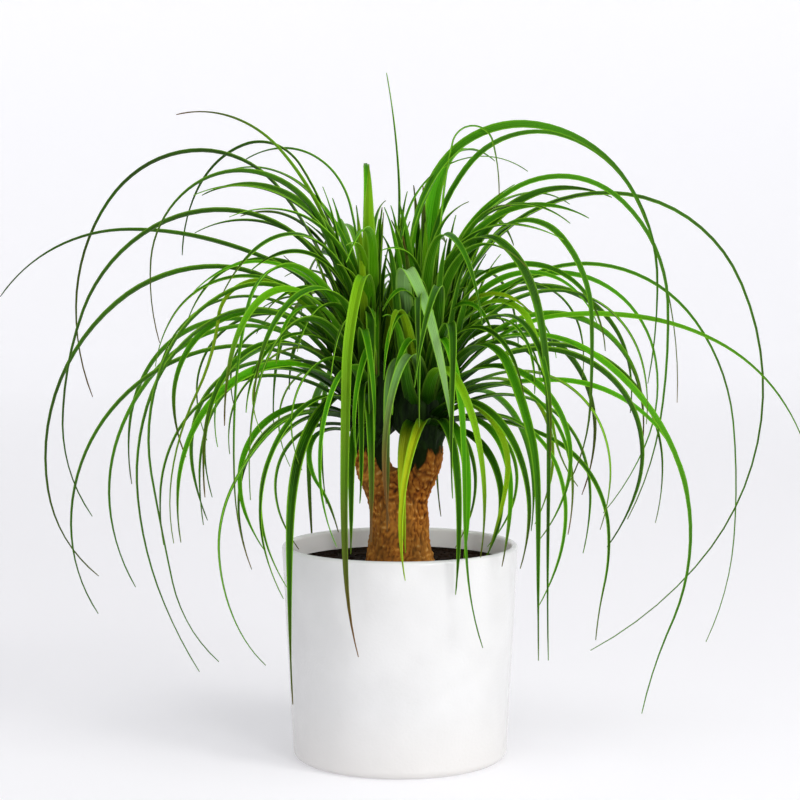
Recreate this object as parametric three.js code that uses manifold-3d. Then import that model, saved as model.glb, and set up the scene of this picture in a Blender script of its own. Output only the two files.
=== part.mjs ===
// A potted ponytail palm: a plain glazed pot filled with soil, a short trunk that forks in two,
// and a crown of long arching strap leaves on each fork.
// Millimetres, +Z up. The origin is the middle of the pot's flat underside, and the front is at -Y.
import * as THREE from "three";
import { mergeVertices } from "three/addons/utils/BufferGeometryUtils.js";
import Module from "manifold-3d";

const wasm = await Module();
wasm.setup();

// Driving sizes.
const fit = 0.3; // clearance between pieces that touch
const pot = {
  height: 155,
  rimRadius: 85,
  baseRadius: 77,
  wall: 5,
  floor: 7,
  footRound: 6,
  innerRound: 8,
  sides: 48,
};
const soil = { top: 141, lump: 0.9 };
// The crowns meet at an upright sheet, bent so that the right one passes a little in front of the left one
// and the left one a little behind, and each keeps its leaves on its own side of it.
const parting = { x: -2, bend: 12, stretch: 20 };
const keepOff = 1.5; // how far a leaf's edge stays from the parting
const keepOffHard = 2.5; // and from the pot, the soil and the trunk
const trunkReach = 34; // no part of the trunk is further out than this
const lowestTip = 12;
const trunkTop = 228;
const crowns = {
  left: { x: -22, y: 5, radius: 11.5 },
  right: { x: 18, y: -4, radius: 13.5 },
};
// A crown's core swells above the stub and closes over the growing point: height, and growth in radius.
const core = [
  [0, -0.5],
  [10, 3],
  [28, 5],
  [48, 1],
  [64, -7],
];
const firstRoot = 7; // height of the lowest and of the highest leaf root above the stub
const lastRoot = 55;
const rootSunk = 12; // how far a leaf's root lies inside the crown's core
const midribSteps = 60;
const fewestRings = 6;
const ringLength = 90; // one more ring for each such length of leaf
const thinnestBlade = 0.7;
const narrowestHalf = 0.6; // half the width of a blade near its tip

// The pot's outer radius at a height: its side is straight and leans out a little.
function potRadius(z) {
  return pot.baseRadius + ((pot.rimRadius - pot.baseRadius) * z) / pot.height;
}

// The trunk, from the rounded foot in the soil to the fork: height, middle in x, half widths in x and y.
const bole = [
  [108, 0, 12, 12],
  [112, 0, 19, 19],
  [119, 0, 24.5, 24.5],
  [129, 0, 26.5, 26.5],
  [137, 0, 26, 26],
  [143, 0, 24.6, 24.6],
  [149, -0.2, 23, 22.8],
  [157, -0.3, 21.8, 21.5],
  [166, -0.2, 20.8, 20.4],
  [175, 0, 20.3, 19.8],
  [182, -0.8, 20.8, 19.6],
  [189, -2.2, 21.4, 19],
  [196, -2.4, 24, 17],
  [203, -2.6, 26.6, 14],
  [209, -2.8, 24, 9],
];
// Each fork, from inside the trunk to its crown: height, middle in x and y, radius.
const forks = {
  left: [
    [182, -5, 0.5, 12.5],
    [192, -10.5, 1.5, 13.4],
    [203, -16.5, 3, 14],
    [213, -19.8, 4.2, 13],
    [221, -21.4, 4.8, 11.9],
    [trunkTop, crowns.left.x, crowns.left.y, 11],
  ],
  right: [
    [180, 4, -0.5, 13],
    [190, 7.5, -1.5, 13.6],
    [203, 12, -3, 14.2],
    [213, 15.6, -3.7, 14.3],
    [221, 17.2, -4, 13.6],
    [trunkTop, crowns.right.x, crowns.right.y, 13],
  ],
};
const barkRelief = 0.7;

// The long leaves that give the plant its outline. Each row: heading in degrees round +Z from +X, how far the
// heading swings from root to tip, height up the crown's core from 0 to 1, length, widest width, roll of the
// blade about its midrib, and the lean from the vertical at seven even places from root to tip.
const longLeaves = {
  left: [
    [160, 0, 0.5, 480, 8.5, 45, [10, 21, 41, 94, 142, 176, 205]],
    [188, 0, 0.6, 465, 9.5, 45, [9, 23, 74, 121, 160, 178, 216]],
    [200, 0, 0.65, 355, 9, 40, [8, 15, 24, 74, 128, 176, 197]],
    [150, 0, 0.7, 331, 7, 40, [11, 11, 23, 37, 106, 149, 180]],
    [168, 0, 0.8, 265, 9, 40, [6, 15, 18, 29, 42, 72, 105]],
    [145, 0, 0.8, 243, 8, 40, [0, 2, 10, 16, 56, 90, 118]],
    [174, 0, 0.62, 340, 8.5, 45, [13, 31, 66, 77, 91, 118, 146]],
    [184, 0, 0.45, 455, 10, 45, [16, 43, 90, 130, 160, 189, 233]],
    [206, 0, 0.42, 450, 11, 35, [16, 41, 114, 159, 190, 192, 229]],
    [186, 0, 0.25, 371, 9, 40, [31, 66, 101, 129, 157, 184, 214]],
    [178, 0, 0.3, 357, 8.5, 40, [28, 52, 100, 137, 160, 187, 211]],
    [202, 0, 0.35, 426, 10, 35, [27, 48, 116, 158, 184, 200, 212]],
    [222, 0, 0.15, 286, 9.5, 30, [66, 87, 128, 149, 185, 207, 230]],
    [230, 0, 0.5, 372, 10, 25, [16, 30, 73, 161, 175, 183, 209]],
    [200, 0, 0.4, 334, 10, 35, [20, 32, 65, 173, 153, 170, 192]],
    [226, 70, 0.25, 280, 12, 10, [30, 116, 134, 155, 177, 175, 170]],
    [222, 20, 0.1, 138, 9, 10, [96, 80, 108, 190, 226, 213, 206]],
    [275, -50, 0.5, 400, 10.5, 5, [8, 18, 130, 176, 178, 184, 200]],
    [285, 0, 0.5, 300, 9.5, 0, [8, 18, 100, 165, 176, 180, 184]],
    [28, 0, 0.95, 215, 6, 0, [14, 17, 13, 2, -4, -8, -12]],
    [95, 0, 0.9, 182, 16, 0, [0, 2, 3, 4, 12, 60, 120]],
    [5, 0, 0.9, 115, 10, 0, [6, 6, 6, 5, 4, 4, 4]],
    [30, 0, 0.75, 120, 12, 0, [4, 5, 5, 4, 3, 5, 10]],
    [250, 0, 0.7, 132, 12, 0, [6, 8, 8, 8, 10, 14, 22]],
    [300, 0, 0.5, 160, 12, 0, [8, 8, 8, 10, 14, 22, 40]],
    [42, 0, 0.7, 145, 13, 0, [30, 26, 14, 6, 4, 8, 20]],
    [50, 0, 0.4, 165, 13, 0, [40, 36, 18, 8, 6, 14, 40]],
    [40, 0, 0.1, 165, 13, 0, [50, 44, 20, 10, 8, 20, 60]],
  ],
  right: [
    [-12, 0, 0.75, 471, 16, 55, [-20, -2, 34, 95, 143, 179, 191]],
    [14, 0, 0.75, 470, 9, 40, [-7, 5, 38, 105, 153, 168, 183]],
    [-2, 0, 0.65, 488, 11, 40, [-4, 18, 62, 134, 178, 188, 208]],
    [6, 0, 0.55, 660, 10, 40, [0, 41, 96, 154, 187, 220, 244]],
    [2, 0, 0.35, 353, 9, 40, [26, 53, 85, 99, 119, 145, 167]],
    [14, 0, 0.5, 510, 8.5, 40, [16, 51, 98, 142, 174, 184, 208]],
    [-14, 0, 0.4, 428, 11, 35, [14, 76, 124, 150, 178, 203, 191]],
    [-35, -68, 0.6, 470, 11, 20, [0, 18, 112, 157, 180, 186, 190]],
    [-26, 0, 0.55, 367, 11, 30, [0, 24, 40, 137, 178, 183, 210]],
    [-35, -75, 0.4, 320, 10, 20, [13, 62, 142, 143, 175, 184, 182]],
    [-8, 0, 0.2, 249, 8, 35, [75, 100, 115, 147, 176, 192, 184]],
    [4, 0, 0.3, 274, 10, 35, [48, 81, 91, 117, 142, 170, 184]],
    [16, 0, 0.5, 378, 10, 40, [0, 45, 79, 125, 170, 204, 224]],
    [-20, 0, 0.45, 248, 10, 30, [-3, 26, 61, 154, 172, 168, 139]],
    [-52, 0, 0.2, 174, 9, 15, [68, 66, 109, 144, 190, 202, 205]],
    [-46, 0, 0.15, 165, 9, 15, [70, 80, 115, 155, 180, 190, 195]],
    [230, 116, 0.75, 250, 15, 5, [24, 26, 40, 118, 156, 168, 172]],
    [250, 0, 0.1, 128, 11.5, 0, [50, 90, 150, 178, 184, 190, 192]],
    [285, 0, 0.1, 180, 9, 5, [60, 85, 125, 160, 178, 188, 198]],
    [295, 0, 0.1, 165, 11, 5, [60, 85, 125, 165, 180, 188, 195]],
    [222, 30, 0.25, 225, 9.5, 0, [15, 30, 100, 168, 184, 182, 174]],
    [275, 45, 0.3, 310, 8, 0, [15, 40, 140, 174, 180, 172, 155]],
    [95, 0, 0.9, 135, 12, 0, [0, 2, 4, 6, 8, 12, 18]],
    [200, 0, 0.7, 118, 12, 0, [5, 6, 6, 6, 8, 10, 16]],
    [237, 0, 0.53, 135, 12, 0, [9, 10, 11, 12, 16, 26, 45]],
    [120, 0, 0.7, 165, 12, 0, [5, 6, 7, 8, 10, 14, 24]],
    [222, 0, 0.8, 130, 13, 0, [30, 26, 12, 4, 2, 8, 26]],
    [228, 0, 0.45, 150, 13, 0, [42, 38, 18, 8, 8, 20, 60]],
    [224, 0, 0.2, 130, 13, 0, [50, 44, 24, 14, 24, 60, 110]],
    [250, 10, 0.2, 150, 12, 0, [18, 24, 30, 40, 70, 120, 150]],
    [-15, 0, 0.9, 245, 7, 20, [4, 5, 5, 6, 14, 165, 182]],
  ],
};

// The rest of each crown grows in a spiral, from the old drooping leaves at its foot to the young upright
// ones at its top.
const spiral = {
  left: { count: 43, seed: 20261, start: 15 },
  right: { count: 43, seed: 48217, start: 140 },
};
const goldenAngle = 137.508;
const crownSpread = { old: 100, young: 150 }; // widest heading off the outward side
const midSwell = 115; // how much longer the leaves half way up are
const variation = { heading: 10, sweep: 90, launch: 12, tip: 36, length: 60, width: 2, roll: 100 };
// A leaf in another piece's way keeps this share of its length each try, and one that grows inwards of
// this heading keeps this share of that too.
const clearing = { tries: 60, share: 0.985, innerFrom: 70 };
const oldLeaf = { launch: 68, tip: 205, length: 170, width: 9, knee: 0.42 };
const youngLeaf = { launch: 5, tip: 60, length: 125, width: 12, knee: 0.7 };

// Draws between 0 and 1 from a seed, so that every build gives the same plant.
function drawsFrom(seed) {
  let state = seed;
  return () => {
    state = (state * 48271) % 2147483647;
    return state / 2147483647;
  };
}

function between(a, b, share) {
  return a + (b - a) * share;
}

// A mesh geometry as a solid that can be joined.
function solidFrom(geometry) {
  const bare = geometry.index ? geometry.clone() : mergeVertices(geometry);
  for (const name of Object.keys(bare.attributes)) {
    if (name !== "position") bare.deleteAttribute(name);
  }
  const merged = mergeVertices(bare, 1e-4);
  return new wasm.Manifold(
    new wasm.Mesh({
      numProp: 3,
      vertProperties: new Float32Array(merged.attributes.position.array),
      triVerts: new Uint32Array(merged.index.array),
    }),
  );
}

// A solid's outer surface as a geometry. Small hollows that joined leaves close off are filled by this.
function geometryFrom(solid) {
  const outer = solid.decompose().reduce((a, b) => (b.volume() > a.volume() ? b : a));
  const mesh = outer.getMesh();
  const geometry = new THREE.BufferGeometry();
  geometry.setAttribute("position", new THREE.BufferAttribute(mesh.vertProperties, 3));
  geometry.setIndex(new THREE.BufferAttribute(mesh.triVerts, 1));
  geometry.computeVertexNormals();
  return geometry;
}

// A closed skin over rings that have the same number of points, with a flat cap on the first ring, and on
// the last ring too unless it is a single point.
function skin(rings) {
  const points = rings.flat();
  const sides = rings[0].length;
  const faces = [];
  const starts = [];
  let start = 0;
  for (const ring of rings) {
    starts.push(start);
    start += ring.length;
  }
  for (let k = 0; k + 1 < rings.length; k += 1) {
    for (let i = 0; i < sides; i += 1) {
      const a = starts[k] + i;
      const b = starts[k] + ((i + 1) % sides);
      if (rings[k + 1].length === 1) {
        faces.push(a, b, starts[k + 1]);
        continue;
      }
      const c = starts[k + 1] + ((i + 1) % sides);
      const d = starts[k + 1] + i;
      // A twisted side is split along the diagonal that bulges outwards, so that thin walls don't cross.
      const across = points[c].clone().sub(points[a]);
      const along = points[d].clone().sub(points[b]);
      const bulge = points[a].clone().add(points[c]).sub(points[b]).sub(points[d]);
      if (bulge.dot(across.cross(along)) >= 0) faces.push(a, b, c, a, c, d);
      else faces.push(a, b, d, b, c, d);
    }
  }
  const last = starts[rings.length - 1];
  for (let i = 1; i + 1 < sides; i += 1) {
    faces.push(0, i + 1, i);
    if (rings[rings.length - 1].length > 1) faces.push(last, last + i, last + i + 1);
  }
  const geometry = new THREE.BufferGeometry().setFromPoints(points);
  geometry.setIndex(faces);
  return geometry;
}

// A turned shape: a profile of radius and height, spun round the upright axis.
function turned(profile, sides) {
  const points = profile.map(([r, z]) => new THREE.Vector2(r, z));
  return new THREE.LatheGeometry(points, sides).rotateX(Math.PI / 2);
}

// Points on an arc about a centre at radius r and height z, from one angle to another.
function arc(r, z, radius, fromDegrees, toDegrees, steps) {
  const points = [];
  for (let k = 0; k <= steps; k += 1) {
    const angle = THREE.MathUtils.degToRad(between(fromDegrees, toDegrees, k / steps));
    points.push([r + radius * Math.cos(angle), z + radius * Math.sin(angle)]);
  }
  return points;
}

function makePot() {
  const round = pot.footRound;
  const lip = pot.wall / 2;
  const inner = (z) => potRadius(z) - pot.wall;
  const corner = pot.floor + pot.innerRound;
  const profile = [
    [0, 0],
    ...arc(potRadius(round) - round, round, round, -90, 0, 3),
    [potRadius(pot.height / 2), pot.height / 2],
    ...arc(pot.rimRadius - lip, pot.height - lip, lip, 0, 180, 4),
    [inner(pot.height / 2), pot.height / 2],
    ...arc(inner(corner) - pot.innerRound, corner, pot.innerRound, 0, -90, 2),
    [0, pot.floor],
  ];
  return turned(profile, pot.sides);
}

// The lumps of the soil's face, which die away at the trunk and at the pot's wall.
function soilLump(x, y) {
  const wave = Math.sin(0.31 * x + 0.9) * Math.cos(0.27 * y - 0.4) + 0.6 * Math.sin(0.53 * x - 0.47 * y);
  return soil.lump * wave;
}

function makeSoil() {
  const floor = pot.floor + fit;
  const corner = floor + pot.innerRound;
  const edge = (z) => potRadius(z) - pot.wall - fit;
  const pocket = bole.filter((row) => row[0] < soil.top).map(([z, , r]) => [r + fit, z]);
  const mouth = pocket[pocket.length - 1][0];
  const rings = [0.08, 0.29, 0.5, 0.71, 0.92];
  const surface = rings.map((share) => [between(mouth, edge(soil.top), share), soil.top]);
  const profile = [
    [0, floor],
    [edge(floor) - pot.innerRound, floor],
    [edge(corner) - 0.3 * pot.innerRound, floor + 0.3 * pot.innerRound],
    [edge(corner), corner],
    [edge(soil.top), soil.top],
    ...surface.reverse(),
    [mouth, soil.top],
    ...pocket.reverse(),
    [0, bole[0][0] - fit],
  ];
  const geometry = turned(profile, pot.sides);
  const place = geometry.attributes.position;
  for (let i = 0; i < place.count; i += 1) {
    const x = place.getX(i);
    const y = place.getY(i);
    const r = Math.hypot(x, y);
    const onFace = Math.abs(place.getZ(i) - soil.top) < 0.01 && r > mouth + 1 && r < edge(soil.top) - 1;
    if (onFace) place.setZ(i, soil.top + soilLump(x, y));
  }
  return geometry;
}

// The bark's ridges and leaf scars, as a height above the plain trunk.
function bark(angle, z) {
  const ridges = 0.5 * Math.sin(7 * angle + 0.06 * z) + 0.35 * Math.sin(13 * angle - 0.13 * z + 1.1);
  const scars = Math.cos(5 * angle + 1.7 * Math.floor(z / 9)) * Math.sin((Math.PI * (z % 9)) / 9);
  return barkRelief * (ridges + 0.6 * scars);
}

function makeTrunk() {
  const boleSides = 32;
  const forkSides = 22;
  const ringAt = (z, x, y, rx, ry, sides, relief) => {
    const ring = [];
    for (let i = 0; i < sides; i += 1) {
      const angle = (2 * Math.PI * i) / sides;
      const raised = relief * bark(angle, z);
      const px = x + (rx + raised) * Math.cos(angle);
      const py = y + (ry + raised) * Math.sin(angle);
      ring.push(new THREE.Vector3(px, py, z));
    }
    return ring;
  };
  const underSoil = (z) => (z < soil.top + 4 ? 0 : 1);
  const body = skin(bole.map(([z, x, rx, ry]) => ringAt(z, x, 0, rx, ry, boleSides, underSoil(z))));
  const arms = Object.values(forks).map((rows) =>
    skin(rows.map(([z, x, y, r]) => ringAt(z, x, y, r, r, forkSides, z < trunkTop ? 1 : 0))),
  );
  return geometryFrom(arms.reduce((solid, arm) => solid.add(solidFrom(arm)), solidFrom(body)));
}

// A leaf's lean from the vertical at a share of its length, from its leans at even steps.
function leanAt(leans, share) {
  const place = share * (leans.length - 1);
  const k = Math.min(Math.floor(place), leans.length - 2);
  return between(leans[k], leans[k + 1], place - k);
}

// The radius of a crown's core at a height above the stub.
function coreRadius(crown, height) {
  const k = Math.max(core.findIndex((row) => row[0] >= height), 1);
  const share = (height - core[k - 1][0]) / (core[k][0] - core[k - 1][0]);
  return crown.radius + between(core[k - 1][1], core[k][1], share);
}

// The points of a leaf's midrib, with its direction, its level side and the share of its length at each.
function midrib(crown, leaf) {
  const height = between(firstRoot, lastRoot, leaf.up);
  const out = Math.max(coreRadius(crown, height) - rootSunk, 0);
  const root = THREE.MathUtils.degToRad(leaf.heading);
  const at = new THREE.Vector3(
    crown.x + out * Math.cos(root),
    crown.y + out * Math.sin(root),
    trunkTop + height,
  );
  const step = leaf.length / midribSteps;
  const points = [];
  for (let k = 0; k <= midribSteps; k += 1) {
    const share = k / midribSteps;
    const lean = THREE.MathUtils.degToRad(leanAt(leaf.leans, share));
    const heading = THREE.MathUtils.degToRad(leaf.heading + leaf.sweep * share);
    const way = new THREE.Vector3(
      Math.sin(lean) * Math.cos(heading),
      Math.sin(lean) * Math.sin(heading),
      Math.cos(lean),
    );
    const level = new THREE.Vector3(-Math.sin(heading), Math.cos(heading), 0);
    points.push({ at: at.clone(), way, level, share });
    at.addScaledVector(way, step);
  }
  return points;
}

// A blade's width along its length, as a share of its widest: broad near the root, then a long taper.
function taper(share) {
  const root = Math.min(1, 0.72 + 2.8 * share);
  const fall = 1 - share;
  return root * (0.12 + 0.88 * fall) * Math.min(1, 6 * fall) ** 0.7;
}

const wrapped = (degrees) => ((((degrees + 180) % 360) + 360) % 360) - 180;

// Whether a leaf keeps to its crown's side, off the pot and the trunk, and above the ground.
function keepsClear(name, leaf, points) {
  const side = name === "left" ? -1 : 1;
  return points.every(({ at, share }) => {
    const half = (leaf.width / 2) * taper(share);
    const reach = half + keepOffHard;
    const r = Math.hypot(at.x, at.y);
    const sheet = parting.x + parting.bend * Math.tanh(at.y / parting.stretch);
    const offParting = side * (at.x - sheet) > half + keepOff;
    const overSoil = r < pot.rimRadius - pot.wall - reach && at.z > soil.top + reach;
    const offPot = at.z > pot.height + reach || r > pot.rimRadius + reach || overSoil;
    const offTrunk = at.z > trunkTop || r > trunkReach + half;
    return offParting && offPot && offTrunk && at.z > lowestTip;
  });
}

// Turns a leaf outwards and shortens it, a little at a time, until it keeps clear.
function cleared(name, leaf) {
  const crown = crowns[name];
  const outwards = name === "left" ? 180 : 0;
  let trial = leaf;
  for (let k = 0; k < clearing.tries; k += 1) {
    const points = midrib(crown, trial);
    if (keepsClear(name, trial, points)) return { leaf: trial, points };
    const off = wrapped(trial.heading - outwards);
    const inner = Math.abs(off) > clearing.innerFrom;
    trial = {
      ...trial,
      heading: outwards + off * (inner ? clearing.share : 1),
      length: trial.length * clearing.share,
    };
  }
  return null;
}

// The leaves of a crown that follow the spiral rule, from the lowest to the highest.
function spiralLeaves(name) {
  const rule = spiral[name];
  const draw = drawsFrom(rule.seed);
  const some = (what) => variation[what] * (draw() - 0.5);
  const outwards = name === "left" ? 180 : 0;
  const leaves = [];
  for (let i = 0; i < rule.count; i += 1) {
    const up = (i + 0.5) / rule.count;
    const youth = up ** 1.3;
    const spread = between(crownSpread.old, crownSpread.young, youth ** 2);
    const heading = outwards + (wrapped(rule.start + goldenAngle * i) / 180) * spread + some("heading");
    const sweep = some("sweep");
    const launch = between(oldLeaf.launch, youngLeaf.launch, up ** 0.7) + some("launch");
    const tip = between(oldLeaf.tip, youngLeaf.tip, youth ** 3) + some("tip");
    const swell = midSwell * Math.sin(Math.PI * up);
    const length = between(oldLeaf.length, youngLeaf.length, up) + swell + some("length");
    const knee = between(oldLeaf.knee, youngLeaf.knee, youth);
    const leans = [0, 1, 2, 3, 4, 5, 6].map((k) => {
      const spent = (k / 6) ** (Math.log(0.5) / Math.log(knee));
      return between(launch, tip, 0.4 * spent + 0.6 * THREE.MathUtils.smoothstep(spent, 0, 1));
    });
    const width = between(oldLeaf.width, youngLeaf.width, up) + some("width");
    leaves.push({ heading, sweep, up, length, width, roll: some("roll"), leans });
  }
  return leaves;
}

// Steps of the midrib where a blade's rings lie: closer together where the leaf bends.
function ringPlaces({ leans, length }) {
  const rings = fewestRings + Math.floor(length / ringLength);
  const spent = [0];
  for (let k = 1; k <= midribSteps; k += 1) {
    const turn = Math.abs(leanAt(leans, k / midribSteps) - leanAt(leans, (k - 1) / midribSteps));
    spent.push(spent[k - 1] + 1 / midribSteps + turn / 180);
  }
  const all = spent[midribSteps];
  const places = [];
  for (let ring = 0; ring <= rings; ring += 1) {
    places.push(spent.findIndex((used) => used >= (all * ring) / rings - 1e-9));
  }
  return places;
}

// A leaf as a three-sided blade: two edges and a keel along the underside, drawn out to a point.
function blade(leaf, points) {
  const rings = ringPlaces(leaf).map((k) => {
    const { at, way, level, share } = points[k];
    if (k === midribSteps) return [at];
    const turn = THREE.MathUtils.degToRad(leaf.roll) * THREE.MathUtils.smoothstep(share, 0.05, 0.55);
    const across = level.clone().applyAxisAngle(way, turn);
    const upper = new THREE.Vector3().crossVectors(way, across);
    const half = Math.max((leaf.width / 2) * taper(share), narrowestHalf);
    const keel = Math.max(0.22 * half, thinnestBlade);
    return [
      at.clone().addScaledVector(across, half),
      at.clone().addScaledVector(across, -half),
      at.clone().addScaledVector(upper, -keel),
    ];
  });
  return skin(rings);
}

// A crown: its core, with all its leaves joined to it.
function makeCrown(name) {
  const crown = crowns[name];
  const sides = 14;
  const coreRings = core.map(([height, growth]) => {
    const ring = [];
    for (let i = 0; i < sides; i += 1) {
      const angle = (2 * Math.PI * i) / sides;
      const r = crown.radius + growth;
      const z = trunkTop + fit + height;
      ring.push(new THREE.Vector3(crown.x + r * Math.cos(angle), crown.y + r * Math.sin(angle), z));
    }
    return ring;
  });
  const long = longLeaves[name].map(([heading, sweep, up, length, width, roll, leans]) => ({
    heading,
    sweep,
    up,
    length,
    width,
    roll,
    leans,
  }));
  const leaves = [...long, ...spiralLeaves(name)]
    .map((leaf) => cleared(name, leaf))
    .filter((found) => found);
  let solid = solidFrom(skin(coreRings));
  for (const { leaf, points } of leaves) {
    solid = solid.add(solidFrom(blade(leaf, points)));
  }
  return geometryFrom(solid);
}

const glaze = new THREE.MeshStandardMaterial({ color: 0xf0f0ee, roughness: 0.25, metalness: 0 });
const peat = new THREE.MeshStandardMaterial({ color: 0x2e2019, roughness: 1, metalness: 0 });
const barkBrown = new THREE.MeshStandardMaterial({ color: 0x8a5630, roughness: 0.9, metalness: 0 });
const leafGreen = new THREE.MeshStandardMaterial({ color: 0x3f8a1f, roughness: 0.5, metalness: 0 });

function piece(name, geometry, material) {
  const mesh = new THREE.Mesh(geometry, material);
  mesh.name = name;
  return mesh;
}

const plant = new THREE.Group();
plant.add(
  piece("pot", makePot(), glaze),
  piece("soil", makeSoil(), peat),
  piece("trunk", makeTrunk(), barkBrown),
  piece("left_head", makeCrown("left"), leafGreen),
  piece("right_head", makeCrown("right"), leafGreen),
);

export default plant;
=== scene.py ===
# A potted ponytail palm: a white glazed pot, dark potting soil, a short trunk that forks in two, and a crown
# of long arching strap leaves on each fork. Sizes are in millimetres and turned into metres by MM.
import math

import bmesh
import bpy
from mathutils import Matrix, Vector, noise


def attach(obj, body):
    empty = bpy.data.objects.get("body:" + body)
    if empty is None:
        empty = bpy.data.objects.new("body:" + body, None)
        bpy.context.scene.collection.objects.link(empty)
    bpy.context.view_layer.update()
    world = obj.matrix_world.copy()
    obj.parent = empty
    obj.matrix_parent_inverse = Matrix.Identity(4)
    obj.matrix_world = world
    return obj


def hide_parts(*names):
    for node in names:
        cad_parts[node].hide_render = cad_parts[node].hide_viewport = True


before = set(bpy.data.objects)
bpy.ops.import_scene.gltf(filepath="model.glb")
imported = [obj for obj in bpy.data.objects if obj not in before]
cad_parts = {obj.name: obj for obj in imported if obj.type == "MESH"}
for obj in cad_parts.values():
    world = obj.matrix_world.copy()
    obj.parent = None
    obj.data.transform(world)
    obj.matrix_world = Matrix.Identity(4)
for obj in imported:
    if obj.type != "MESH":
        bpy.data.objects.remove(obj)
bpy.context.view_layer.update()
MM = 0.001


# The pot is a plain round cover pot, slip cast in stoneware and dipped in a thick white glaze. The glaze lies
# in faint ripples with a fine orange peel over them and is slightly warmer towards the foot. Its inside is
# painted far whiter than its outside: painted light on the inner wall, which the crown shades.
POT_HEIGHT = 155
RIM_RADIUS = 85
BASE_RADIUS = 77
POT_WALL = 5
POT_FLOOR = 7
FOOT_ROUND = 6
INNER_ROUND = 8
POT_STEPS = 144
CORNER_STEPS = 8
LIP_STEPS = 12
OUTER_ROWS = range(20, 150, 13)
INNER_ROWS = range(149, 20, -16)
SAME_POINT = 0.001
SHARP_EDGE = 40
GLAZE = (0.69, 0.69, 0.685)
GLAZE_HOLLOWS = (0.655, 0.655, 0.65)
GLAZE_FOOT = (0.675, 0.66, 0.64)
# Painted light: the inner wall's glaze is made far whiter than the outside's, where the crown shades it.
GLAZE_INSIDE_LIT = (0.98, 0.97, 0.96)
GLAZE_ROUGHNESS = (0.16, 0.26)
GLAZE_SHINE = 0.5
FOOT_FADE = 50
RIPPLE_FINENESS = 26
RIPPLE_DEPTH = 0.5
PEEL_FINENESS = 420
PEEL_DEPTH = 0.04


def pot_radius(z):
    return BASE_RADIUS + (RIM_RADIUS - BASE_RADIUS) * z / POT_HEIGHT


def arc(r, z, radius, start, stop, steps):
    """Points on an arc about a centre at radius r and height z, from one angle to another in degrees."""
    points = []
    for k in range(steps + 1):
        angle = math.radians(start + (stop - start) * k / steps)
        points.append((r + radius * math.cos(angle), z + radius * math.sin(angle)))
    return points


def spun(profile, steps):
    """A profile of radii and heights spun round the upright axis into a closed mesh."""
    bm = bmesh.new()
    verts = [bm.verts.new((r * MM, 0, z * MM)) for r, z in profile]
    edges = [bm.edges.new(pair) for pair in zip(verts, verts[1:])]
    bmesh.ops.spin(
        bm, geom=verts + edges, cent=(0, 0, 0), axis=(0, 0, 1), dvec=(0, 0, 0),
        angle=math.tau, steps=steps, use_merge=True, use_duplicate=False,
    )
    bmesh.ops.remove_doubles(bm, verts=bm.verts, dist=SAME_POINT * MM)
    bmesh.ops.recalc_face_normals(bm, faces=bm.faces)
    return bm


def placed(name, mesh, *materials, sharp=SHARP_EDGE):
    """A smooth-shaded piece that keeps its edges sharper than so many degrees."""
    mesh.shade_smooth()
    mesh.set_sharp_from_angle(angle=math.radians(sharp))
    for material in materials:
        mesh.materials.append(material)
    piece = bpy.data.objects.new(name, mesh)
    bpy.context.scene.collection.objects.link(piece)
    return piece


def mesh_from(name, bm):
    mesh = bpy.data.meshes.new(name)
    bm.to_mesh(mesh)
    bm.free()
    return mesh


def dressed(name):
    """A new node material, with its nodes, its links and its main shader."""
    material = bpy.data.materials.new(name)
    material.use_nodes = True
    tree = material.node_tree
    return material, tree.nodes, tree.links, tree.nodes["Principled BSDF"]


def make_mottle_group():
    """A cloudy mask between 0 and 1, which every finish here uses for its unevenness."""
    group = bpy.data.node_groups.new("mottle", "ShaderNodeTree")
    group.interface.new_socket("Vector", in_out="INPUT", socket_type="NodeSocketVector")
    for socket, value in (("Scale", 20.0), ("Detail", 3.0), ("Low", 0.35), ("High", 0.65)):
        made = group.interface.new_socket(socket, in_out="INPUT", socket_type="NodeSocketFloat")
        made.default_value = value
    group.interface.new_socket("Mask", in_out="OUTPUT", socket_type="NodeSocketFloat")
    entry = group.nodes.new("NodeGroupInput")
    leave = group.nodes.new("NodeGroupOutput")
    cloud = group.nodes.new("ShaderNodeTexNoise")
    spread = group.nodes.new("ShaderNodeMapRange")
    link = group.links.new
    link(entry.outputs["Vector"], cloud.inputs["Vector"])
    link(entry.outputs["Scale"], cloud.inputs["Scale"])
    link(entry.outputs["Detail"], cloud.inputs["Detail"])
    link(cloud.outputs["Fac"], spread.inputs["Value"])
    link(entry.outputs["Low"], spread.inputs["From Min"])
    link(entry.outputs["High"], spread.inputs["From Max"])
    link(spread.outputs["Result"], leave.inputs["Mask"])
    return group


mottle = make_mottle_group()


def mottled(nodes, links, vector, scale, detail=3.0, low=0.35, high=0.65):
    """The mask of a mottle group placed in a material."""
    node = nodes.new("ShaderNodeGroup")
    node.node_tree = mottle
    links.new(vector, node.inputs["Vector"])
    for socket, value in (("Scale", scale), ("Detail", detail), ("Low", low), ("High", high)):
        node.inputs[socket].default_value = value
    return node.outputs["Mask"]


def blended(nodes, links, mask, first, second):
    """A colour between two others, each a colour or a socket, by a mask."""
    node = nodes.new("ShaderNodeMix")
    node.data_type = "RGBA"
    links.new(mask, node.inputs["Factor"])
    for socket, colour in (("A", first), ("B", second)):
        target = next(s for s in node.inputs if s.name == socket and s.type == "RGBA")
        if isinstance(colour, tuple):
            target.default_value = (*colour, 1)
        else:
            links.new(colour, target)
    return next(s for s in node.outputs if s.type == "RGBA")


def ranged(nodes, links, value, low, high, from_low=0.0, from_high=1.0):
    """A value brought from one range into another."""
    node = nodes.new("ShaderNodeMapRange")
    links.new(value, node.inputs["Value"])
    numbers = (("From Min", from_low), ("From Max", from_high), ("To Min", low), ("To Max", high))
    for socket, number in numbers:
        node.inputs[socket].default_value = number
    return node.outputs["Result"]


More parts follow.
